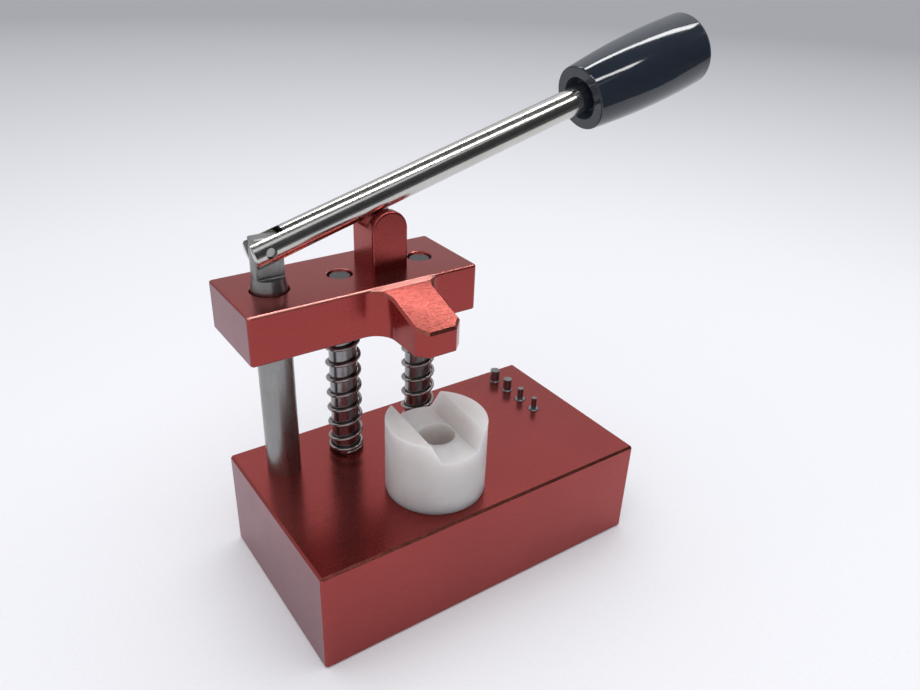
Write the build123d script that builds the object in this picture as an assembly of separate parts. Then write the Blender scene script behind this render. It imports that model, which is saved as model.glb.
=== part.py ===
from build123d import *
import math
import os

# Lever press for watch bracelet pins, in millimetres.
# Origin: centre of the base block's underside. +X runs along the base towards the lever's
# handle, +Y to the back, where the columns stand, +Z up.

# Base block
BASE_LENGTH = 132.0
BASE_WIDTH = 75.0
BASE_HEIGHT = 39.0
EDGE_BREAK = 0.8
SEAT_DEPTH = 24.0            # how deep the post and the columns stand in the base

# Lines that everything stands on
LINE_Y = 20.75               # post, columns and lever lug share this line
POST_X = -51.8
PRESS_X = -11.0              # middle of the columns, the lug and the nose
COLUMN_SPACING = 31.5

# Pivot post: a round shank, a cone up to a thinner neck, and a flat tongue milled on the neck
POST_D = 12.0
POST_TOP_Z = 127.1
CONE_FOOT_Z = 109.9
NECK_D = 10.7
TONGUE_FOOT_Z = 113.5
TONGUE_THICKNESS = 5.0
TONGUE_ROOT_ROUND = 0.35
TONGUE_CORNER_ROUND = 1.8    # top corner that faces the bottom of the lever's fork
TONGUE_EDGE_BREAK = 0.4
PIVOT_Z = 122.65
PIVOT_PIN_D = 3.6
PIVOT_PIN_LENGTH = 7.4
PIVOT_PIN_BREAK = 0.25
PIVOT_RUN = 0.03             # radial clearance of the pin in the tongue and in the tines

# Guide columns and the bushes that run on them
COLUMN_D = 10.0
COLUMN_SHOULDER_Z = 93.5     # the column is necked above this height
COLUMN_NECK_D = 8.3
COLUMN_TOP_Z = 108.3
COLUMN_END_BREAK = 0.7
BUSH_D = 12.0
BUSH_LENGTH = 12.0
BUSH_RUN = 0.03

# Press head: a bar across both columns with a sloped nose in front
HEAD_LEFT_X = -BASE_LENGTH / 2
HEAD_RIGHT_X = 18.0
HEAD_FRONT_Y = 4.0
HEAD_BACK_Y = BASE_WIDTH / 2
HEAD_BOTTOM_Z = 92.0
HEAD_TOP_Z = 109.0
NOSE_WIDTH = 17.0
NOSE_TIP_Y = -19.0
NOSE_LEFT_FILLET = 7.0
NOSE_RIGHT_FILLET = 5.0
NOSE_TIP_CORNER = 3.5
NOSE_SLOPE_DEG = 19.1
NOSE_EDGE_BREAK = 0.8
CORNER_ROUND = 1.2
HEAD_EDGE_ROUND = 0.8
POST_HOLE_D = 12.8
COLUMN_ROOM_D = 10.6         # over the bushes, where the head clears the columns' shoulders
NECK_HOLE_D = 8.7
NECK_HOLE_DEPTH = 3.0        # how far the neck's hole runs down from the head's top
HOLE_BREAK = 0.3

# Punch socket under the nose, and the set screw that holds the punch
SOCKET_D = 4.6
SOCKET_DEPTH = 9.0
SOCKET_Y = -10.5
SET_SCREW_D = 3.0
SET_SCREW_LENGTH = 5.4
SET_SCREW_GAP = 0.1          # how far the screw's end stops short of the socket
SET_SCREW_HEX_DEPTH = 1.6
SET_SCREW_Z = 97.5

# Lever lug: a half-round topped block with a saddle for the lever rod
LUG_WIDTH = 13.5
LUG_THICKNESS = 14.0
LUG_ROUND_Z = 123.15         # centre of the lug's half-round top
LUG_EDGE_ROUND = 0.8
SADDLE_BOTTOM_R = 5.23       # radius of the saddle's bottom about the half-round's centre
SADDLE_R = 5.3               # cross-section radius of the saddle, a little over the rod's
SADDLE_LOW = 1.0             # the saddle is cut only above this height over the centre

# Lever rod and handle, laid out along the rod from the pivot
LEVER_D = 10.0
LEVER_ANGLE_DEG = 15.38
TINE_END = 5.4
TINE_EDGE_BREAK = 0.4
FORK_DEPTH = 6.5
FORK_WIDTH = TONGUE_THICKNESS + 0.2
HANDLE_START = 130.5
HANDLE_LENGTH = 55.5
HANDLE_MOUTH_R = 11.9
HANDLE_BELLY_R = 14.3
HANDLE_BELLY_AT = 38.0       # how far along the handle it is thickest
HANDLE_END_R = 13.9
HANDLE_MOUTH_ROUND = 0.6
HANDLE_END_ROUND = 1.6
HANDLE_POCKET_D = 16.0
HANDLE_POCKET_DEPTH = 6.0
STUD_D = 8.0
STUD_LENGTH = 24.0
STUD_END_ROOM = 1.0
INSERT_D = 13.0
INSERT_LENGTH = 20.0
INSERT_SINK = 2.0            # how far the insert lies under the pocket's floor

# Return springs
SPRING_D = 12.8
SPRING_WIRE_D = 1.3
SPRING_HALF_TURNS = 16
SPRING_END_TURN_DEG = 270    # flat turn at each end of a spring

# Anvil
ANVIL_D = 35.0
ANVIL_HEIGHT = 27.7
ANVIL_Y = -16.2
ANVIL_TURN_DEG = -3.6
ANVIL_BORE_D = 12.8
ANVIL_FOOT_ROUND = 0.6
ANVIL_TOP_ROUND = 0.4
GROOVE_TOP_WIDTH = 19.8
GROOVE_FLOOR_WIDTH = 13.8
GROOVE_DEPTH = 6.7

# Spare punches, stored in a row of blind holes
PUNCH_X = 50.1
PUNCH_FRONT_Y = 3.4
PUNCH_PITCH = 8.8
PUNCH_SHANK_D = 4.5
PUNCH_HOLE_D = PUNCH_SHANK_D + 0.1
PUNCH_HOLE_BREAK = 0.1
PUNCH_SEAT_DEPTH = 9.0
PUNCH_SHANK_OUT = 0.5
PUNCH_EDGE_BREAK = 0.3
PUNCH_TIP_LENGTH = 4.7
PUNCH_TIP_DIAMETERS = (2.1, 2.5, 3.5, 4.0)   # front to back

# Cap screws: thread, length under the head, head diameter and head height
POST_SCREW = (6.0, 20.0, 10.0, 6.0)
COLUMN_SCREW = (5.0, 20.0, 8.5, 5.0)
LUG_SCREW = (4.0, 22.0, 7.0, 4.0)
LUG_SCREW_PITCH = 7.5
LUG_SCREW_SINK = 4.6
BASE_SCREW_SINK = 7.0
HEAD_CLEARANCE = 1.0         # added to a screw head's diameter for its counterbore
THREAD_CLEARANCE = 0.6       # added to a thread's diameter for its through hole
HEX_WIDTH_SHARE = 0.5        # hexagon socket across flats, as a share of the head's diameter
HEX_DEPTH_SHARE = 0.55

COLUMN_XS = (PRESS_X - COLUMN_SPACING / 2, PRESS_X + COLUMN_SPACING / 2)
SEAT_Z = BASE_HEIGHT - SEAT_DEPTH
OVERRUN = 1.0                # how far a cutter runs past the face it opens


def rod(x, y, z_low, z_high, diameter):
    """Upright cylinder between two heights."""
    return Pos(x, y, (z_low + z_high) / 2) * Cylinder(diameter / 2, z_high - z_low)


def mouth_cone(x, y, z_mouth, diameter, size=HOLE_BREAK, opens_up=True):
    """Cutter for the broken edge of a hole whose mouth is at z_mouth."""
    wide = diameter / 2 + size
    narrow = diameter / 2
    if opens_up:
        return Pos(x, y, z_mouth - size / 2) * Cone(narrow, wide, size)
    return Pos(x, y, z_mouth + size / 2) * Cone(wide, narrow, size)


def hexagon(width, depth):
    """Prism for a screw's hexagon socket, standing on the XY plane."""
    return extrude(RegularPolygon(width / math.sqrt(3), 6), depth)


def cap_screw(sizes, x, y, z_seat):
    """Socket cap screw pointing up: its head hangs below z_seat."""
    thread, length, head_d, head_h = sizes
    screw = rod(x, y, z_seat - head_h, z_seat, head_d) + rod(x, y, z_seat, z_seat + length, thread)
    socket = hexagon(head_d * HEX_WIDTH_SHARE, head_h * HEX_DEPTH_SHARE)
    return screw - Pos(x, y, z_seat - head_h) * socket


def cap_screws(sizes, places, z_seat):
    screws = [cap_screw(sizes, x, y, z_seat) for x, y in places]
    return Compound(children=screws)


def screw_hole(sizes, x, y, z_top):
    """Counterbore and through hole of a cap screw driven into the base from below."""
    thread, _, head_d, _ = sizes
    hole = rod(x, y, 0, BASE_SCREW_SINK, head_d + HEAD_CLEARANCE)
    return hole + rod(x, y, BASE_SCREW_SINK, z_top, thread + THREAD_CLEARANCE)


def on_lever(shape):
    """Takes a shape laid along +X from the pivot to its place at rest."""
    return Pos(POST_X, LINE_Y, PIVOT_Z) * Rot(0, -LEVER_ANGLE_DEG, 0) * shape


def along_lever(x_low, x_high, diameter):
    """Cylinder on the lever's own axis, before it is taken to its place."""
    return Pos((x_low + x_high) / 2, 0, 0) * Rot(0, 90, 0) * Cylinder(diameter / 2, x_high - x_low)


def punch_places():
    return [(PUNCH_FRONT_Y + i * PUNCH_PITCH, d) for i, d in enumerate(PUNCH_TIP_DIAMETERS)]


def lug_screw_ys():
    return (LINE_Y - LUG_SCREW_PITCH / 2, LINE_Y + LUG_SCREW_PITCH / 2)


def make_base():
    block = Pos(0, 0, BASE_HEIGHT / 2) * Box(BASE_LENGTH, BASE_WIDTH, BASE_HEIGHT)
    block = chamfer(block.edges(), EDGE_BREAK)
    block -= rod(POST_X, LINE_Y, SEAT_Z, BASE_HEIGHT, POST_D)
    block -= screw_hole(POST_SCREW, POST_X, LINE_Y, SEAT_Z)
    for x in COLUMN_XS:
        block -= rod(x, LINE_Y, SEAT_Z, BASE_HEIGHT, COLUMN_D)
        block -= screw_hole(COLUMN_SCREW, x, LINE_Y, SEAT_Z)
    for y, _ in punch_places():
        block -= rod(PUNCH_X, y, BASE_HEIGHT - PUNCH_SEAT_DEPTH, BASE_HEIGHT, PUNCH_HOLE_D)
        block -= mouth_cone(PUNCH_X, y, BASE_HEIGHT, PUNCH_HOLE_D, PUNCH_HOLE_BREAK)
    return block


def tongue_side(side):
    """Cutter for one flat of the tongue, with a rounded root."""
    depth = POST_D / 2
    cutter = Box(POST_D + OVERRUN, depth, POST_TOP_Z - TONGUE_FOOT_Z + OVERRUN)
    low_edges = cutter.edges().filter_by(Axis.X).group_by(Axis.Z)[0].sort_by(Axis.Y)
    cutter = fillet(low_edges[-1 if side < 0 else 0], TONGUE_ROOT_ROUND)
    centre_y = LINE_Y + side * (TONGUE_THICKNESS + depth) / 2
    return Pos(POST_X, centre_y, (TONGUE_FOOT_Z + POST_TOP_Z + OVERRUN) / 2) * cutter


def make_post():
    post = rod(POST_X, LINE_Y, SEAT_Z, CONE_FOOT_Z, POST_D)
    cone_height = TONGUE_FOOT_Z - CONE_FOOT_Z
    cone = Cone(POST_D / 2, NECK_D / 2, cone_height)
    post += Pos(POST_X, LINE_Y, CONE_FOOT_Z + cone_height / 2) * cone
    post += rod(POST_X, LINE_Y, TONGUE_FOOT_Z, POST_TOP_Z, NECK_D)
    for side in (-1, 1):
        post -= tongue_side(side)
    corner = Box(NECK_D, NECK_D, NECK_D)
    corner -= Pos(-NECK_D / 2, 0, -NECK_D / 2) * Rot(90, 0, 0) * Cylinder(TONGUE_CORNER_ROUND, NECK_D)
    round_x = POST_X + NECK_D / 2 - TONGUE_CORNER_ROUND
    round_z = POST_TOP_Z - TONGUE_CORNER_ROUND
    post -= Pos(round_x + NECK_D / 2, LINE_Y, round_z + NECK_D / 2) * corner
    top = post.faces().filter_by(Axis.Z).sort_by(Axis.Z)[-1]
    left_rim = [e for e in top.edges() if e.center().X < round_x - 0.01]
    post = chamfer(left_rim, TONGUE_EDGE_BREAK)
    pin_hole = Cylinder(PIVOT_PIN_D / 2 + PIVOT_RUN, POST_D)
    post -= Pos(POST_X, LINE_Y, PIVOT_Z) * Rot(90, 0, 0) * pin_hole
    thread, length, _, _ = POST_SCREW
    return post - rod(POST_X, LINE_Y, SEAT_Z, BASE_SCREW_SINK + length, thread)


def make_column(x):
    column = rod(x, LINE_Y, SEAT_Z, COLUMN_SHOULDER_Z, COLUMN_D)
    column += rod(x, LINE_Y, COLUMN_SHOULDER_Z, COLUMN_TOP_Z, COLUMN_NECK_D)
    column = chamfer(column.faces().sort_by(Axis.Z)[-1].edges(), COLUMN_END_BREAK)
    thread, length, _, _ = COLUMN_SCREW
    return column - rod(x, LINE_Y, SEAT_Z, BASE_SCREW_SINK + length, thread)


def make_bush(x):
    top_z = HEAD_BOTTOM_Z + BUSH_LENGTH
    sleeve = rod(x, LINE_Y, HEAD_BOTTOM_Z, top_z, BUSH_D)
    return sleeve - rod(x, LINE_Y, HEAD_BOTTOM_Z, top_z, COLUMN_D + 2 * BUSH_RUN)


def head_plan():
    """Outline of the head from above: a bar and its nose, with round inner corners."""
    length = HEAD_RIGHT_X - HEAD_LEFT_X
    width = HEAD_BACK_Y - HEAD_FRONT_Y
    bar = Pos(HEAD_LEFT_X + length / 2, HEAD_FRONT_Y + width / 2) * Rectangle(length, width)
    reach = HEAD_FRONT_Y - NOSE_TIP_Y
    plan = bar + Pos(PRESS_X, HEAD_FRONT_Y - reach / 2) * Rectangle(NOSE_WIDTH, reach)
    for side, radius in ((-1, NOSE_LEFT_FILLET), (1, NOSE_RIGHT_FILLET)):
        root = Vector(PRESS_X + side * NOSE_WIDTH / 2, HEAD_FRONT_Y, 0)
        corner = plan.vertices().sort_by_distance(root)[0]
        plan = fillet(corner, radius)
    return chamfer(plan.vertices().group_by(Axis.Y)[0], NOSE_TIP_CORNER)


def make_bar():
    length = HEAD_RIGHT_X - HEAD_LEFT_X
    width = HEAD_BACK_Y - HEAD_FRONT_Y
    height = HEAD_TOP_Z - HEAD_BOTTOM_Z
    bar = Pos(HEAD_LEFT_X + length / 2, HEAD_FRONT_Y + width / 2,
              HEAD_BOTTOM_Z + height / 2) * Box(length, width, height)
    bar = fillet(bar.edges().filter_by(Axis.Z), CORNER_ROUND)
    return fillet(bar.faces().sort_by(Axis.Z)[-1].edges(), HEAD_EDGE_ROUND)


def nose_plan():
    """Outline of the nose from above, run back over the rounded edge of the bar."""
    left = PRESS_X - NOSE_WIDTH / 2 - NOSE_LEFT_FILLET
    right = PRESS_X + NOSE_WIDTH / 2 + NOSE_RIGHT_FILLET
    length = HEAD_FRONT_Y + HEAD_EDGE_ROUND - NOSE_TIP_Y
    reach = Pos((left + right) / 2, NOSE_TIP_Y + length / 2) * Rectangle(right - left, length)
    return head_plan() & reach


def make_nose():
    """Nose whose sloped top starts at the front edge of the bar's top."""
    slope = math.tan(math.radians(NOSE_SLOPE_DEG))
    root_y = HEAD_FRONT_Y + HEAD_EDGE_ROUND
    low_y = NOSE_TIP_Y - OVERRUN
    profile = Polyline((root_y, HEAD_BOTTOM_Z), (low_y, HEAD_BOTTOM_Z),
                       (low_y, HEAD_TOP_Z - (root_y - low_y) * slope),
                       (root_y, HEAD_TOP_Z), close=True)
    wedge = extrude(Plane.YZ * make_face(profile), BASE_LENGTH, both=True)
    block = Pos(0, 0, HEAD_BOTTOM_Z) * extrude(nose_plan(), HEAD_TOP_Z - HEAD_BOTTOM_Z)
    nose = wedge & block
    top = nose.faces().sort_by(Axis.Z)[-1]
    rim = [e for e in top.edges() if e.center().Y < HEAD_FRONT_Y - NOSE_EDGE_BREAK]
    return chamfer(rim, NOSE_EDGE_BREAK)


def set_screw_hole():
    """Threaded hole from the socket out through the nose's right side."""
    length = NOSE_WIDTH / 2
    return Pos(PRESS_X + length / 2, SOCKET_Y, SET_SCREW_Z) * Rot(0, 90, 0) * Cylinder(
        SET_SCREW_D / 2, length)


def make_set_screw():
    x_inner = PRESS_X + SOCKET_D / 2 + SET_SCREW_GAP
    screw = Cylinder(SET_SCREW_D / 2, SET_SCREW_LENGTH)
    socket = hexagon(SET_SCREW_D * HEX_WIDTH_SHARE, SET_SCREW_HEX_DEPTH)
    screw -= Pos(0, 0, SET_SCREW_LENGTH / 2 - SET_SCREW_HEX_DEPTH) * socket
    return Pos(x_inner + SET_SCREW_LENGTH / 2, SOCKET_Y, SET_SCREW_Z) * Rot(0, 90, 0) * screw


def make_head():
    head = make_bar() + make_nose()
    head = chamfer(head.faces().sort_by(Axis.Z)[0].edges(), EDGE_BREAK / 2)
    head -= rod(POST_X, LINE_Y, HEAD_BOTTOM_Z, HEAD_TOP_Z, POST_HOLE_D)
    head -= mouth_cone(POST_X, LINE_Y, HEAD_TOP_Z, POST_HOLE_D)
    for x in COLUMN_XS:
        head -= rod(x, LINE_Y, HEAD_BOTTOM_Z, HEAD_BOTTOM_Z + BUSH_LENGTH, BUSH_D)
        head -= rod(x, LINE_Y, HEAD_BOTTOM_Z, HEAD_TOP_Z - NECK_HOLE_DEPTH, COLUMN_ROOM_D)
        head -= rod(x, LINE_Y, HEAD_BOTTOM_Z, HEAD_TOP_Z, NECK_HOLE_D)
        head -= mouth_cone(x, LINE_Y, HEAD_TOP_Z, NECK_HOLE_D)
    thread, _, screw_head_d, _ = LUG_SCREW
    seat_z = HEAD_BOTTOM_Z + LUG_SCREW_SINK
    for y in lug_screw_ys():
        head -= rod(PRESS_X, y, HEAD_BOTTOM_Z, seat_z, screw_head_d + THREAD_CLEARANCE)
        head -= rod(PRESS_X, y, HEAD_BOTTOM_Z, HEAD_TOP_Z, thread + THREAD_CLEARANCE)
    head -= rod(PRESS_X, SOCKET_Y, HEAD_BOTTOM_Z, HEAD_BOTTOM_Z + SOCKET_DEPTH, SOCKET_D)
    head -= mouth_cone(PRESS_X, SOCKET_Y, HEAD_BOTTOM_Z, SOCKET_D, opens_up=False)
    return head - set_screw_hole()


def make_lug():
    height = LUG_ROUND_Z - HEAD_TOP_Z
    side = Pos(0, -height / 2) * Rectangle(LUG_WIDTH, height) + Circle(LUG_WIDTH / 2)
    lug = extrude(Plane.XZ * side, LUG_THICKNESS / 2, both=True)
    rim = [e for f in lug.faces().filter_by(Axis.Y) for e in f.edges()
           if e.center().Z > -height + 0.01]
    lug = fillet(rim, LUG_EDGE_ROUND)
    saddle = Rot(90, 0, 0) * Torus(SADDLE_BOTTOM_R + SADDLE_R, SADDLE_R)
    room = 4 * SADDLE_R + 2 * SADDLE_BOTTOM_R
    saddle &= Pos(0, 0, SADDLE_LOW + room / 2) * Box(room, room, room)
    lug = Pos(PRESS_X, LINE_Y, LUG_ROUND_Z) * (lug - saddle)
    thread, length, _, _ = LUG_SCREW
    for y in lug_screw_ys():
        lug -= rod(PRESS_X, y, HEAD_TOP_Z, HEAD_BOTTOM_Z + LUG_SCREW_SINK + length, thread)
    return lug


def make_lever_rod():
    end = HANDLE_START + HANDLE_POCKET_DEPTH
    bar = along_lever(-TINE_END, end, LEVER_D)
    bar = chamfer(bar.faces().sort_by(Axis.X)[0].edges(), TINE_EDGE_BREAK)
    bar += along_lever(end, end + STUD_LENGTH, STUD_D)
    slot_start = -TINE_END - OVERRUN
    slot = Box(FORK_DEPTH - slot_start, FORK_WIDTH, LEVER_D + OVERRUN)
    bar -= Pos((FORK_DEPTH + slot_start) / 2, 0, 0) * slot
    bar -= Rot(90, 0, 0) * Cylinder(PIVOT_PIN_D / 2 + PIVOT_RUN, LEVER_D + OVERRUN)
    return on_lever(bar)


def make_pivot_pin():
    pin = Rot(90, 0, 0) * Cylinder(PIVOT_PIN_D / 2, PIVOT_PIN_LENGTH)
    pin = chamfer(pin.edges().filter_by(GeomType.CIRCLE), PIVOT_PIN_BREAK)
    return on_lever(pin)


def make_handle():
    start = HANDLE_START
    end = start + HANDLE_LENGTH
    swell = ThreePointArc((start, HANDLE_MOUTH_R), (start + HANDLE_BELLY_AT, HANDLE_BELLY_R),
                          (end, HANDLE_END_R))
    rim = Polyline((end, HANDLE_END_R), (end, 0), (start, 0), (start, HANDLE_MOUTH_R))
    grip = revolve(make_face([swell, rim]), Axis.X)
    for place, radius in ((-1, HANDLE_END_ROUND), (0, HANDLE_MOUTH_ROUND)):
        ring = grip.edges().filter_by(GeomType.CIRCLE).sort_by(Axis.X)[place]
        grip = fillet(ring, radius)
    pocket_end = start + HANDLE_POCKET_DEPTH
    grip -= along_lever(start, pocket_end, HANDLE_POCKET_D)
    insert_low = pocket_end + INSERT_SINK
    grip -= along_lever(insert_low, insert_low + INSERT_LENGTH, INSERT_D)
    grip -= along_lever(pocket_end, pocket_end + STUD_LENGTH + STUD_END_ROOM, STUD_D)
    return on_lever(grip)


def make_insert():
    low = HANDLE_START + HANDLE_POCKET_DEPTH + INSERT_SINK
    sleeve = along_lever(low, low + INSERT_LENGTH, INSERT_D)
    return on_lever(sleeve - along_lever(low, low + INSERT_LENGTH, STUD_D))


def ring_part(radius, start_deg, turn_deg):
    """Part of a ring of spring wire, lying flat about the Z axis."""
    wire = Plane.XZ * Pos(radius, 0) * Circle(SPRING_WIRE_D / 2)
    return Rot(0, 0, start_deg) * revolve(wire, Axis.Z, turn_deg)


def make_spring(x):
    """Coil spring: a flat turn at each end, and half turns between them that tilt in turn."""
    radius = (SPRING_D - SPRING_WIRE_D) / 2
    height = HEAD_BOTTOM_Z - BASE_HEIGHT - SPRING_WIRE_D
    rise = height / SPRING_HALF_TURNS
    tilt = math.atan(rise / (2 * radius))
    half = ring_part(math.hypot(radius, rise / 2), 0, 180)
    coil = ring_part(radius, -SPRING_END_TURN_DEG, SPRING_END_TURN_DEG)
    for i in range(SPRING_HALF_TURNS):
        turned = Rot(0, 0, 180 * i) * Rot(0, math.degrees(tilt), 0) * half
        coil += Pos(0, 0, rise * (i + 0.5)) * turned
    coil += Pos(0, 0, height) * ring_part(radius, 180 * SPRING_HALF_TURNS, SPRING_END_TURN_DEG)
    return Pos(x, LINE_Y, BASE_HEIGHT + SPRING_WIRE_D / 2) * coil


def make_anvil():
    block = Pos(0, 0, ANVIL_HEIGHT / 2) * Cylinder(ANVIL_D / 2, ANVIL_HEIGHT)
    for place, radius in ((0, ANVIL_FOOT_ROUND), (-1, ANVIL_TOP_ROUND)):
        ring = block.edges().filter_by(GeomType.CIRCLE).sort_by(Axis.Z)[place]
        block = fillet(ring, radius)
    floor_z = ANVIL_HEIGHT - GROOVE_DEPTH
    half_top = GROOVE_TOP_WIDTH / 2
    half_floor = GROOVE_FLOOR_WIDTH / 2
    spread = half_top + (half_top - half_floor) * OVERRUN / GROOVE_DEPTH
    top_z = ANVIL_HEIGHT + OVERRUN
    section = Polyline((-half_floor, floor_z), (half_floor, floor_z),
                       (spread, top_z), (-spread, top_z), close=True)
    block -= extrude(Plane.XZ * make_face(section), ANVIL_D, both=True)
    block -= Pos(0, 0, ANVIL_HEIGHT / 2) * Cylinder(ANVIL_BORE_D / 2, ANVIL_HEIGHT)
    return Pos(PRESS_X, ANVIL_Y, BASE_HEIGHT) * Rot(0, 0, ANVIL_TURN_DEG) * block


def make_punch(y, tip_d):
    foot_z = BASE_HEIGHT - PUNCH_SEAT_DEPTH
    shoulder_z = BASE_HEIGHT + PUNCH_SHANK_OUT
    shank = rod(PUNCH_X, y, foot_z, shoulder_z, PUNCH_SHANK_D)
    shank = chamfer(shank.edges().filter_by(GeomType.CIRCLE), PUNCH_EDGE_BREAK)
    return shank + rod(PUNCH_X, y, shoulder_z, shoulder_z + PUNCH_TIP_LENGTH, tip_d)


def main():
    os.makedirs("parts", exist_ok=True)
    column_places = [(x, LINE_Y) for x in COLUMN_XS]
    lug_screw_places = [(PRESS_X, y) for y in lug_screw_ys()]
    parts = {
        "base_block": make_base(),
        "pivot_post": make_post(),
        "guide_column_left": make_column(COLUMN_XS[0]),
        "guide_column_right": make_column(COLUMN_XS[1]),
        "return_spring_left": make_spring(COLUMN_XS[0]),
        "return_spring_right": make_spring(COLUMN_XS[1]),
        "post_screw": cap_screws(POST_SCREW, [(POST_X, LINE_Y)], BASE_SCREW_SINK),
        "column_screws": cap_screws(COLUMN_SCREW, column_places, BASE_SCREW_SINK),
        "press_head": make_head(),
        "bush_left": make_bush(COLUMN_XS[0]),
        "bush_right": make_bush(COLUMN_XS[1]),
        "lever_lug": make_lug(),
        "lug_screws": cap_screws(LUG_SCREW, lug_screw_places, HEAD_BOTTOM_Z + LUG_SCREW_SINK),
        "socket_set_screw": make_set_screw(),
        "pivot_pin": make_pivot_pin(),
        "lever_rod": make_lever_rod(),
        "handle_grip": make_handle(),
        "handle_insert": make_insert(),
        "anvil": make_anvil(),
    }
    for number, (y, tip_d) in enumerate(punch_places(), 1):
        parts[f"spare_punch_{number}"] = make_punch(y, tip_d)
    for name, shape in parts.items():
        export_step(shape, f"parts/{name}.step")


main()
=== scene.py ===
import bmesh
import bpy
import math
from mathutils import Matrix, Vector


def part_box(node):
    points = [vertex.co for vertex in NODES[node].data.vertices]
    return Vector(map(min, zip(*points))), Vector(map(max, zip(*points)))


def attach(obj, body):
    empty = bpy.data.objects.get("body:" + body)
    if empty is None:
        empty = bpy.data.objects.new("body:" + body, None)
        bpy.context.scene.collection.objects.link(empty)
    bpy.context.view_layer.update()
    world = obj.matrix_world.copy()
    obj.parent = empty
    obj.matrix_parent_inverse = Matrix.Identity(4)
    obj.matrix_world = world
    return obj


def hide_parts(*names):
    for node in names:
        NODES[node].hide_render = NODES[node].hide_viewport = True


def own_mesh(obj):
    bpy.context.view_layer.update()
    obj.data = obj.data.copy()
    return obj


# Lever press for watch bracelet pins, in metres, in the frame of the CAD model:
# +X along the base towards the handle, +Y to the back, +Z up.

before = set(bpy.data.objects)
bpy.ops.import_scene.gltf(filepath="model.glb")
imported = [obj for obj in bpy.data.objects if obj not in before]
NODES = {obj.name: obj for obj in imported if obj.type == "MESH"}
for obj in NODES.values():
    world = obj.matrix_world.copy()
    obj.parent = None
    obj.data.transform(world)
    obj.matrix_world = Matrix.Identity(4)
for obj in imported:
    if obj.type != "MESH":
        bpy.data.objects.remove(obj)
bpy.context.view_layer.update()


def middle(node):
    low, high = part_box(node)
    return (low + high) / 2


# ------------------------------------------------------------------ places from the frame

HEAD_TOP_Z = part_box("press_head")[1].z
PRESS_X = middle("lever_lug").x
PIVOT = middle("pivot_pin")
ANVIL_AXIS = middle("anvil")

# From the pivot to the handle's insert, and the turn that takes the lever's own axis onto +X.
LEVER = middle("handle_insert") - PIVOT
LEVER_TURN = (0.0, math.atan2(LEVER.z, LEVER.x), 0.0)

# ------------------------------------------------------------------ node helpers


class Graph:
    """Small helper that adds shader nodes and links them in one call."""

    def __init__(self, tree):
        self.tree = tree
        tree.nodes.clear()

    def add(self, kind, settings=None, **inputs):
        node = self.tree.nodes.new(kind)
        for key, value in (settings or {}).items():
            setattr(node, key, value)
        for key, value in inputs.items():
            self.put(node, key, value)
        return node

    def put(self, node, key, value):
        """Sets or links an input, named in words with underscores or by i and its number."""
        numbered = key[0] == "i" and key[1:].isdigit()
        socket = node.inputs[int(key[1:]) if numbered else key.replace("_", " ")]
        if isinstance(value, bpy.types.NodeSocket):
            self.tree.links.new(value, socket)
        elif isinstance(value, bpy.types.Node):
            self.tree.links.new(value.outputs[0], socket)
        else:
            socket.default_value = value

    def math(self, operation, a, b=0.0, clamp=False):
        return self.add("ShaderNodeMath", {"operation": operation, "use_clamp": clamp}, i0=a, i1=b)

    def between(self, value, from_low, from_high, to_low, to_high):
        return self.add("ShaderNodeMapRange", Value=value, From_Min=from_low, From_Max=from_high,
                        To_Min=to_low, To_Max=to_high)

    def times(self, a, b):
        return self.math("MULTIPLY", a, b)

    def reach(self, a, b):
        """Distance from an axis, out of the two coordinates across it."""
        return self.math("SQRT", self.math("ADD", self.times(a, a), self.times(b, b)))

    def blend(self, factor, first, second):
        node = self.add("ShaderNodeMix", {"data_type": "RGBA"})
        self.put(node, "i0", factor)
        self.put(node, "i6", first)
        self.put(node, "i7", second)
        return node.outputs[2]

    def noise(self, place, scale, detail=3.0, rough=0.55):
        return self.add("ShaderNodeTexNoise", Vector=place, Scale=scale, Detail=detail,
                        Roughness=rough).outputs["Fac"]


def rgba(colour):
    return (*colour, 1.0)


def shade(colour, factor):
    return tuple(c * factor for c in colour)


def new_material(name):
    material = bpy.data.materials.new(name)
    material.use_nodes = True
    graph = Graph(material.node_tree)
    shader = graph.add("ShaderNodeBsdfPrincipled")
    graph.add("ShaderNodeOutputMaterial", Surface=shader)
    return material, graph, shader


def own_facing(graph):
    """The three parts of the surface's direction in the object's own axes."""
    direction = graph.add("ShaderNodeTexCoord").outputs["Normal"]
    return graph.add("ShaderNodeSeparateXYZ", i0=direction).outputs


def own_place(graph, turn=(0.0, 0.0, 0.0), stretch=(1.0, 1.0, 1.0), start=(0.0, 0.0, 0.0)):
    """Position in the object's own axes, moved to start, turned and stretched."""
    place = graph.add("ShaderNodeTexCoord").outputs["Object"]
    moved = graph.add("ShaderNodeVectorMath", {"operation": "SUBTRACT"}, i0=place, i1=start)
    return graph.add("ShaderNodeMapping", {"vector_type": "POINT"}, Vector=moved, Rotation=turn,
                     Scale=stretch).outputs[0]


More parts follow.
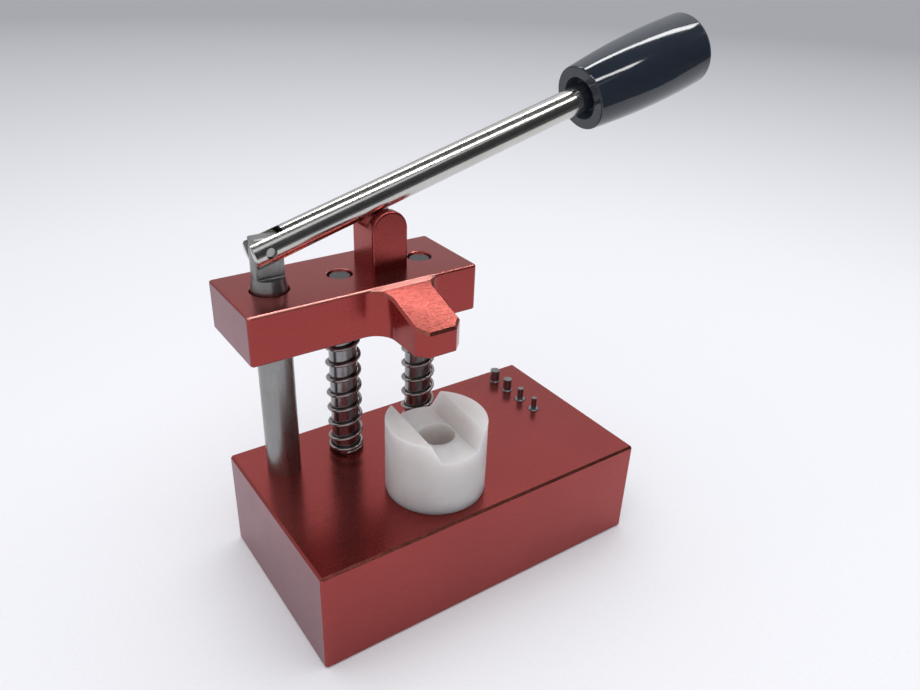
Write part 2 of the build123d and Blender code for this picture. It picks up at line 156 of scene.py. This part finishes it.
def grained_metal(name, colour, rough, grain, bump, stretch, turn=(0, 0, 0), start=(0, 0, 0),
                  mottle=0.12, mottle_scale=60.0, smudge=0.06, painted_top_shade=1.0):
    """Metal with fine tool lines, slow colour drift, faint smudges and, if wanted, tops darkened
    by painted shade.
    """
    material, graph, shader = new_material(name)
    along = own_place(graph, turn, stretch, start)
    plain = own_place(graph, turn, start=start)
    lines = graph.noise(along, grain, 5.0, 0.62)
    drift = graph.noise(plain, mottle_scale, 3.0)
    smear = graph.noise(plain, mottle_scale * 3.1, 4.0, 0.7)
    colour_now = graph.blend(graph.between(drift, 0.3, 0.7, 0.0, 1.0),
                             rgba(shade(colour, 1 - mottle)), rgba(shade(colour, 1 + mottle)))
    colour_now = graph.blend(graph.between(lines, 0.35, 0.75, 0.0, 0.35), colour_now,
                             rgba(shade(colour, 0.72)))
    # painted shade: faces that look straight up get a darker colour, standing in for shade on the
    # tops
    if painted_top_shade < 1.0:
        on_top = graph.math("GREATER_THAN", own_facing(graph)[2], 0.9)
        colour_now = graph.blend(on_top, colour_now, rgba(shade(colour, painted_top_shade)))
    gloss = graph.between(lines, 0.3, 0.7, rough * 0.82, rough * 1.18)
    gloss = graph.math("ADD", gloss, graph.between(smear, 0.45, 0.75, 0.0, smudge), True)
    relief = graph.add("ShaderNodeBump", Strength=1.0, Distance=bump, Height=lines)
    graph.put(shader, "Base_Color", colour_now)
    graph.put(shader, "Metallic", 1.0)
    graph.put(shader, "Roughness", gloss)
    graph.put(shader, "Normal", relief)
    return material


# ------------------------------------------------------------------ materials

RED = (0.325, 0.053, 0.048)
END_GREY = (0.265, 0.125, 0.14)
# painted highlight colour of the head's top edge
EDGE_HIGHLIGHT = (0.95, 0.42, 0.36)
# pale speck colour of the nose's slope: the grain is real, its pale specks are painted glints
BELT_GLINT = (0.36, 0.088, 0.064)
SKIN_GLOSS = 0.20

NOSE_CLEAR = 0.02            # the sawn ends lie further than this from the nose's middle
EDGE_HEIGHT = 0.0008         # height of the band along the head's top edge that carries the painted highlight
EDGE_HIGHLIGHT_FADES = (0.009, 0.014)  # from the nose's middle, where the edge's painted highlight fades back to plain red
SLOPE_HEIGHT = 0.009         # height over which a painted highlight makes the nose's slope paler towards its foot


def sawn_ends(graph, facing, spot, pits, colour, gloss):
    """Greyer and duller finish on the sawn ends of the base and the head."""
    side_on = graph.math("GREATER_THAN", graph.math("ABSOLUTE", facing[0]), 0.9)
    off_nose = graph.math("ABSOLUTE", graph.math("SUBTRACT", spot[0], PRESS_X))
    at_end = graph.times(side_on, graph.math("GREATER_THAN", off_nose, NOSE_CLEAR))
    grey = graph.blend(graph.between(pits, 0.35, 0.65, 0.0, 1.0),
                       rgba(shade(END_GREY, 0.93)), rgba(shade(END_GREY, 1.07)))
    return (graph.blend(at_end, colour, grey),
            graph.math("ADD", gloss, graph.times(at_end, 0.14)))


def leaning_faces(graph, facing, spot, colour, gloss):
    """Painted highlight on a rougher band along the head's top edge, and belt grain on what leans
    below it, with pale specks as painted glints and a painted highlight that makes it paler
    towards its foot.
    """
    leaning = graph.between(graph.times(facing[1], facing[2]), -0.12, -0.36, 0.0, 1.0)
    at_top = graph.math("GREATER_THAN", spot[2], HEAD_TOP_Z - EDGE_HEIGHT)
    grain = graph.noise(own_place(graph, stretch=(0.35, 1.0, 1.0)), 1500.0, 4.0, 0.75)
    # belt grain with pale specks: the grain is real, the pale specks are painted glints
    belt = graph.blend(graph.between(grain, 0.40, 0.62, 0.0, 1.0),
                       rgba(shade(BELT_GLINT, 0.50)), rgba(BELT_GLINT))
    # painted highlight: the slope is painted darker at its top and paler towards its foot
    slope_highlight = graph.between(spot[2], HEAD_TOP_Z - SLOPE_HEIGHT, HEAD_TOP_Z, 1.0, 0.45)
    belt = graph.blend(slope_highlight, rgba(shade(RED, 0.65)), belt)
    on_slope = graph.times(leaning, graph.math("SUBTRACT", 1.0, at_top))
    colour = graph.blend(on_slope, colour, belt)
    # painted highlight: a pale band along the head's top edge, fading out away from the nose
    edge_highlight_fade = graph.between(spot[0], PRESS_X + EDGE_HIGHLIGHT_FADES[0], PRESS_X + EDGE_HIGHLIGHT_FADES[1], 1.0, 0.2)
    highlit_edge = graph.times(graph.times(leaning, at_top), edge_highlight_fade)
    return (graph.blend(highlit_edge, colour, rgba(EDGE_HIGHLIGHT)),
            graph.math("ADD", gloss, graph.times(highlit_edge, 0.14)))


def anodised_red(name, grain_turn=(0, 0, 0), block=False):
    """Red anodised aluminium: fine milled lines under a dyed skin; a block also gets its sawn ends
    and the painted highlights and glints of its head's edge and slope.
    """
    material, graph, shader = new_material(name)
    along = own_place(graph, grain_turn, (0.02, 1.0, 1.0))
    plain = own_place(graph)
    lines = graph.noise(along, 4200.0, 4.0, 0.55)
    pits = graph.noise(plain, 4600.0, 2.0, 0.5)
    drift = graph.noise(plain, 22.0, 3.0, 0.5)
    smear = graph.noise(plain, 90.0, 5.0, 0.68)
    colour = graph.blend(graph.between(drift, 0.3, 0.7, 0.0, 1.0),
                         rgba(shade(RED, 0.94)), rgba(shade(RED, 1.06)))
    colour = graph.blend(graph.between(lines, 0.35, 0.8, 0.0, 0.25), colour,
                         rgba(shade(RED, 0.7)))
    gloss = graph.between(lines, 0.3, 0.7, SKIN_GLOSS * 0.85, SKIN_GLOSS * 1.15)
    gloss = graph.math("ADD", gloss, graph.between(pits, 0.4, 0.75, 0.0, 0.10))
    if block:
        facing = own_facing(graph)
        spot = graph.add("ShaderNodeSeparateXYZ", i0=plain).outputs
        colour, gloss = sawn_ends(graph, facing, spot, pits, colour, gloss)
        colour, gloss = leaning_faces(graph, facing, spot, colour, gloss)
    gloss = graph.math("ADD", gloss, graph.between(smear, 0.5, 0.8, 0.0, 0.06), True)
    relief = graph.add("ShaderNodeBump", Strength=1.0, Distance=0.0000013, Height=lines)
    relief = graph.add("ShaderNodeBump", Strength=1.0, Distance=0.000004, Height=pits,
                       Normal=relief)
    graph.put(shader, "Base_Color", colour)
    graph.put(shader, "Metallic", 0.94)
    graph.put(shader, "Roughness", gloss)
    graph.put(shader, "Normal", relief)
    graph.put(shader, "Coat_Weight", 0.12)
    graph.put(shader, "Coat_Roughness", 0.5)
    return material


def nylon():
    """White turned nylon: milky, a little see-through, with faint rings from the lathe."""
    material, graph, shader = new_material("nylon")
    place = own_place(graph, start=(ANVIL_AXIS.x, ANVIL_AXIS.y, 0.0))
    spot = graph.add("ShaderNodeSeparateXYZ", i0=place).outputs
    rings = graph.add("ShaderNodeCombineXYZ", i2=graph.times(spot[2], 2.2),
                      i0=graph.times(graph.reach(spot[0], spot[1]), 2.2))
    turned = graph.noise(rings, 1500.0, 3.0, 0.6)
    cloud = graph.noise(place, 110.0, 4.0, 0.6)
    speck = graph.noise(place, 1900.0, 2.0, 0.5)
    milk = graph.blend(graph.between(cloud, 0.3, 0.7, 0.0, 1.0),
                       rgba((0.565, 0.545, 0.535)), rgba((0.62, 0.61, 0.605)))
    gloss = graph.between(cloud, 0.3, 0.7, 0.42, 0.54)
    relief = graph.add("ShaderNodeBump", Strength=1.0, Distance=0.000018, Height=turned)
    relief = graph.add("ShaderNodeBump", Strength=1.0, Distance=0.000012, Height=speck,
                       Normal=relief)
    graph.put(shader, "Base_Color", milk)
    graph.put(shader, "Roughness", gloss)
    graph.put(shader, "Normal", relief)
    graph.put(shader, "Subsurface_Weight", 1.0)
    graph.put(shader, "Subsurface_Radius", (1.0, 0.85, 0.75))
    graph.put(shader, "Subsurface_Scale", 0.020)
    graph.put(shader, "IOR", 1.53)
    return material


RECESS_REACH = 0.0081        # from the lever's axis to just past the recess's wall


def moulded_black():
    """Glossy black plastic, slightly wavy, with a duller recess round the rod that is painted
    paler as painted light.
    """
    material, graph, shader = new_material("handle_plastic")
    along = own_place(graph, LEVER_TURN, (0.35, 1.0, 1.0), PIVOT)
    plain = own_place(graph, LEVER_TURN, start=PIVOT)
    wave = graph.noise(along, 120.0, 2.0, 0.4)
    grit = graph.noise(plain, 2600.0, 3.0, 0.6)
    haze = graph.noise(along, 46.0, 5.0, 0.66)
    colour = graph.blend(graph.between(haze, 0.35, 0.7, 0.0, 1.0),
                         rgba((0.016, 0.022, 0.033)), rgba((0.022, 0.029, 0.041)))
    gloss = graph.between(haze, 0.3, 0.75, 0.07, 0.13)
    spot = graph.add("ShaderNodeSeparateXYZ", i0=plain).outputs
    in_recess = graph.times(
        graph.math("LESS_THAN", graph.reach(spot[1], spot[2]), RECESS_REACH),
        graph.math("LESS_THAN", spot[0], LEVER.length))
    # painted light: the recess round the rod is painted paler, so it reads as lit inside
    colour = graph.blend(in_recess, colour, rgba((0.072, 0.092, 0.130)))
    gloss = graph.math("ADD", gloss, graph.times(in_recess, 0.3))
    relief = graph.add("ShaderNodeBump", Strength=1.0, Distance=0.00012, Height=wave)
    relief = graph.add("ShaderNodeBump", Strength=1.0, Distance=0.0000015, Height=grit,
                       Normal=relief)
    graph.put(shader, "Base_Color", colour)
    graph.put(shader, "Roughness", gloss)
    graph.put(shader, "Normal", relief)
    graph.put(shader, "IOR", 1.54)
    return material


block_red = anodised_red("anodised_block", block=True)
lug_red = anodised_red("anodised_lug", grain_turn=(0, math.pi / 2, 0))
post_steel = grained_metal("post_steel", (0.30, 0.30, 0.295), 0.30, 3200.0, 0.000004,
                           (1.0, 1.0, 0.05), mottle=0.10, smudge=0.08)
# painted shade: the guide columns' tops are painted darker
column_steel = grained_metal("column_steel", (0.27, 0.265, 0.27), 0.20, 3600.0, 0.000002,
                             (0.06, 0.06, 1.0), mottle=0.08, smudge=0.07, painted_top_shade=0.33)
lever_steel = grained_metal("lever_steel", (0.56, 0.55, 0.52), 0.17, 1500.0, 0.000014,
                            (1.0, 0.03, 0.03), turn=LEVER_TURN, start=PIVOT, mottle=0.06,
                            smudge=0.05)
pin_steel = grained_metal("pin_steel", (0.46, 0.45, 0.44), 0.26, 5200.0, 0.000004,
                          (1.0, 0.2, 1.0), mottle=0.10)
wire_steel = grained_metal("wire_steel", (0.36, 0.33, 0.32), 0.20, 2600.0, 0.000006,
                           (0.35, 0.35, 1.0), mottle=0.18, mottle_scale=260.0)
black_steel = grained_metal("black_oxide", (0.045, 0.046, 0.050), 0.36, 4200.0, 0.000008,
                            (1.0, 1.0, 0.3), mottle=0.2)
punch_steel = grained_metal("punch_steel", (0.26, 0.26, 0.265), 0.28, 5200.0, 0.000005,
                            (0.1, 0.1, 1.0), mottle=0.14, mottle_scale=300.0)
bronze = grained_metal("bush_bronze", (0.50, 0.33, 0.15), 0.32, 3600.0, 0.000006,
                       (0.1, 0.1, 1.0), mottle=0.12, mottle_scale=180.0)
brass = grained_metal("insert_brass", (0.62, 0.46, 0.20), 0.30, 3600.0, 0.000006,
                      (1.0, 0.1, 0.1), turn=LEVER_TURN, start=PIVOT, mottle=0.12)
white_nylon = nylon()
black_plastic = moulded_black()

FINISHES = {
    "base_block": block_red,
    "press_head": block_red,
    "lever_lug": lug_red,
    "pivot_post": post_steel,
    "guide_column_left": column_steel,
    "guide_column_right": column_steel,
    "post_screw": black_steel,
    "column_screws": black_steel,
    "lug_screws": black_steel,
    "socket_set_screw": black_steel,
    "bush_left": bronze,
    "bush_right": bronze,
    "pivot_pin": pin_steel,
    "lever_rod": lever_steel,
    "handle_grip": black_plastic,
    "handle_insert": brass,
    "anvil": white_nylon,
    "spare_punch_1": punch_steel,
    "spare_punch_2": punch_steel,
    "spare_punch_3": punch_steel,
    "spare_punch_4": punch_steel,
}
for node, material in FINISHES.items():
    for slot in NODES[node].material_slots:
        slot.material = material

# ------------------------------------------------------------------ return springs

WIRE_D = 0.0013
OPEN_PITCH = 0.00625
CLOSED_TURNS = 1.0
EASE_TURNS = 0.65            # the pitch opens up over this much of a turn
STEPS_PER_TURN = 64
WIRE_SIDES = 16


def coil_rise(turns):
    """Height gained from the end of a coil's closed turns, easing into the open pitch."""
    if turns <= 0:
        return turns * WIRE_D
    if turns < EASE_TURNS:
        return turns * WIRE_D + (OPEN_PITCH - WIRE_D) * turns ** 2 / (2 * EASE_TURNS)
    return (EASE_TURNS * (WIRE_D + OPEN_PITCH) / 2) + (turns - EASE_TURNS) * OPEN_PITCH


def spring(name, node, front_angle):
    """Right-handed compression spring with one closed turn at each end."""
    low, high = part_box(node)
    centre = middle(node)
    radius = (high.x - low.x - WIRE_D) / 2
    height = high.z - low.z - WIRE_D
    half_open = (height / 2 - CLOSED_TURNS * WIRE_D - coil_rise(EASE_TURNS)) / OPEN_PITCH
    half_turns = CLOSED_TURNS + EASE_TURNS + half_open
    steps = round(2 * half_turns * STEPS_PER_TURN)
    mesh = bmesh.new()
    rings = []
    for i in range(steps + 1):
        turns = 2 * half_turns * i / steps
        from_end = min(turns, 2 * half_turns - turns)
        rise = CLOSED_TURNS * WIRE_D + coil_rise(from_end - CLOSED_TURNS)
        z = rise if turns < half_turns else height - rise
        angle = front_angle + 2 * math.pi * turns
        out = Vector((math.cos(angle), math.sin(angle), 0))
        slope = (OPEN_PITCH if from_end > CLOSED_TURNS + EASE_TURNS else WIRE_D) / (
            2 * math.pi * radius)
        up = (Vector((0, 0, 1)) - slope * Vector((-out.y, out.x, 0))).normalized()
        centre_now = Vector((centre.x, centre.y, low.z + WIRE_D / 2 + z)) + out * radius
        ring = []
        for k in range(WIRE_SIDES):
            turn = 2 * math.pi * k / WIRE_SIDES
            offset = out * math.cos(turn) + up * math.sin(turn)
            ring.append(mesh.verts.new(centre_now + offset * WIRE_D / 2))
        rings.append(ring)
    for first, second in zip(rings, rings[1:]):
        for k in range(WIRE_SIDES):
            m = (k + 1) % WIRE_SIDES
            mesh.faces.new((first[k], first[m], second[m], second[k]))
    mesh.faces.new(rings[0][::-1])
    mesh.faces.new(rings[-1])
    bmesh.ops.recalc_face_normals(mesh, faces=mesh.faces)
    data = bpy.data.meshes.new(name)
    mesh.to_mesh(data)
    mesh.free()
    for face in data.polygons:
        face.use_smooth = len(face.vertices) == 4
    coil = bpy.data.objects.new(name, data)
    bpy.context.collection.objects.link(coil)
    data.materials.append(wire_steel)
    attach(coil, "base")
    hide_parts(node)
    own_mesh(coil)


spring("coil_left", "return_spring_left", math.radians(245))
spring("coil_right", "return_spring_right", math.radians(75))

# ------------------------------------------------------------------ floor and studio

FLOOR_HALF = 6.0
FLOOR_FADES = (0.40, 1.8)    # the paper falls out of the light between these distances
STRIP_Z = 0.26
STRIP_RADIANCE = 13.0

# The lamp stands open towards this heading, measured from +Y round to +X, and the dark room
# beyond it is what the lever and the handle mirror along their sides.
ROOM_HEADING = math.radians(151)
ROOM_HALF_WIDTH = math.radians(35)
ROOM_NEAR, ROOM_FAR, ROOM_HEIGHT = 0.36, 5.8, 5.1
FLOOR_CARD_Z = 0.002
OVERHEAD_CARD_Z = 0.264
OVERHEAD_CARD_OUTLINE = ((-0.085, -0.070), (0.210, -0.095), (0.200, 0.0), (-0.030, 0.145),
                         (-0.085, 0.060))


def flat_piece(name, corners, material):
    """One flat face as a stage piece, which takes no part in the object's size."""
    mesh = bpy.data.meshes.new(name)
    mesh.from_pydata(corners, [], [range(len(corners))])
    mesh.materials.append(material)
    piece = bpy.data.objects.new(name, mesh)
    bpy.context.collection.objects.link(piece)
    return piece


def paper():
    """Matt white paper with a faint fibre, greyer far from the lamps."""
    material, graph, shader = new_material("paper")
    spot = graph.add("ShaderNodeTexCoord").outputs["Object"]
    away = graph.add("ShaderNodeVectorMath", {"operation": "LENGTH"}, i0=spot).outputs["Value"]
    fibre = graph.noise(spot, 900.0, 3.0)
    sheet = graph.blend(graph.between(fibre, 0.3, 0.7, 0.0, 1.0),
                        rgba((0.845, 0.845, 0.87)), rgba((0.875, 0.875, 0.90)))
    sheet = graph.blend(graph.between(away, *FLOOR_FADES, 0.0, 1.0), sheet,
                        rgba((0.50, 0.50, 0.53)))
    graph.put(shader, "Base_Color", sheet)
    graph.put(shader, "Roughness", 0.6)
    graph.put(shader, "Specular_IOR_Level", 0.0)
    return material


def black_felt():
    material, graph, shader = new_material("felt")
    graph.put(shader, "Base_Color", rgba((0.075, 0.075, 0.08)))
    graph.put(shader, "Roughness", 0.9)
    return material


def studio_sky():
    """Soft surround: grey walls, white towards the ceiling, and a greyer patch straight above."""
    world = bpy.data.worlds.new("studio")
    bpy.context.scene.world = world
    world.use_nodes = True
    sky = Graph(world.node_tree)
    ray = sky.add("ShaderNodeTexCoord").outputs["Generated"]
    height = sky.add("ShaderNodeSeparateXYZ", i0=ray).outputs["Z"]
    tone = sky.blend(sky.between(height, 0.30, 0.75, 0.0, 1.0),
                     rgba((0.54, 0.545, 0.57)), rgba((1.0, 1.01, 1.04)))
    tone = sky.blend(sky.between(height, 0.90, 0.97, 0.0, 1.0), tone, rgba((0.50, 0.505, 0.52)))
    sky.add("ShaderNodeOutputWorld",
            Surface=sky.add("ShaderNodeBackground", Color=tone, Strength=1.0))


def ceiling_light(name, place, length, width, turn, radiance, mirrored):
    """Flat light facing down; a mirrored one shows only in reflections, any other never does."""
    data = bpy.data.lights.new(name, "AREA")
    data.shape = "RECTANGLE"
    data.size, data.size_y = length, width
    data.energy = radiance * math.pi * length * width
    light = bpy.data.objects.new(name, data)
    light.location = place
    light.rotation_euler = (0, 0, turn)
    light.visible_camera = False
    light.visible_glossy, light.visible_diffuse = mirrored, not mirrored
    bpy.context.collection.objects.link(light)


def dark_card(name, corners, seen_by_all=False):
    """Card that the camera never sees; unless told otherwise, only mirroring surfaces see it."""
    card = flat_piece(name, corners, felt)
    card.visible_camera = card.visible_transmission = card.visible_volume_scatter = False
    card.visible_diffuse = card.visible_shadow = seen_by_all


def room_corner(distance, side, z):
    """Point on the dark room's outline: side is -1 or 1, for its left or right."""
    ahead = Vector((math.sin(ROOM_HEADING), math.cos(ROOM_HEADING), 0))
    right = Vector((ahead.y, -ahead.x, 0))
    return (ahead + right * side * math.tan(ROOM_HALF_WIDTH)) * distance + Vector((0, 0, z))


flat_piece("floor", [(x * FLOOR_HALF, y * FLOOR_HALF, 0)
                     for x, y in ((-1, -1), (1, -1), (1, 1), (-1, 1))], paper())
studio_sky()
ceiling_light("front_strip", (0.038, -0.0285, STRIP_Z), 0.215, 0.014, math.radians(-18),
              STRIP_RADIANCE, True)
ceiling_light("back_strip", (0.065, 0.069, STRIP_Z), 0.26, 0.013, math.radians(-32),
              STRIP_RADIANCE, True)
ceiling_light("soft_top", (0.08, -0.05, 0.70), 0.90, 0.90, 0.0, 1.05, False)

felt = black_felt()
dark_card("room_wall", [room_corner(ROOM_FAR, side, z)
                        for side, z in ((-1, FLOOR_CARD_Z), (1, FLOOR_CARD_Z),
                                        (1, ROOM_HEIGHT), (-1, ROOM_HEIGHT))], True)
dark_card("floor_card", [room_corner(distance, side, FLOOR_CARD_Z)
                         for distance, side in ((ROOM_NEAR, -1), (ROOM_NEAR, 1),
                                                (ROOM_FAR, 1), (ROOM_FAR, -1))])
dark_card("overhead_card", [(x, y, OVERHEAD_CARD_Z) for x, y in OVERHEAD_CARD_OUTLINE])

# ------------------------------------------------------------------ camera

CAMERA_PLACE = Vector((-0.13732, -0.20210, 0.21483))
CAMERA_LOOK = Vector((0.50164, 0.71752, -0.48324))
CAMERA_ROLL = math.radians(1.89)
CAMERA_LENS = 31.13
CAMERA_SHIFT = (0.0135, 0.0112)
SENSOR_WIDTH = 36.0
CLIP_RANGE = (0.01, 50.0)

camera_data = bpy.data.cameras.new("camera")
camera_data.sensor_width = SENSOR_WIDTH
camera_data.lens = CAMERA_LENS
camera_data.shift_x, camera_data.shift_y = CAMERA_SHIFT
camera_data.clip_start, camera_data.clip_end = CLIP_RANGE
camera = bpy.data.objects.new("camera", camera_data)
camera.location = CAMERA_PLACE
camera.rotation_mode = "QUATERNION"
camera.rotation_quaternion = (CAMERA_LOOK.to_track_quat("-Z", "Y")
                              @ Matrix.Rotation(CAMERA_ROLL, 3, "Z").to_quaternion())
bpy.context.collection.objects.link(camera)
bpy.context.scene.camera = camera
bpy.context.scene.view_settings.view_transform = "Standard"
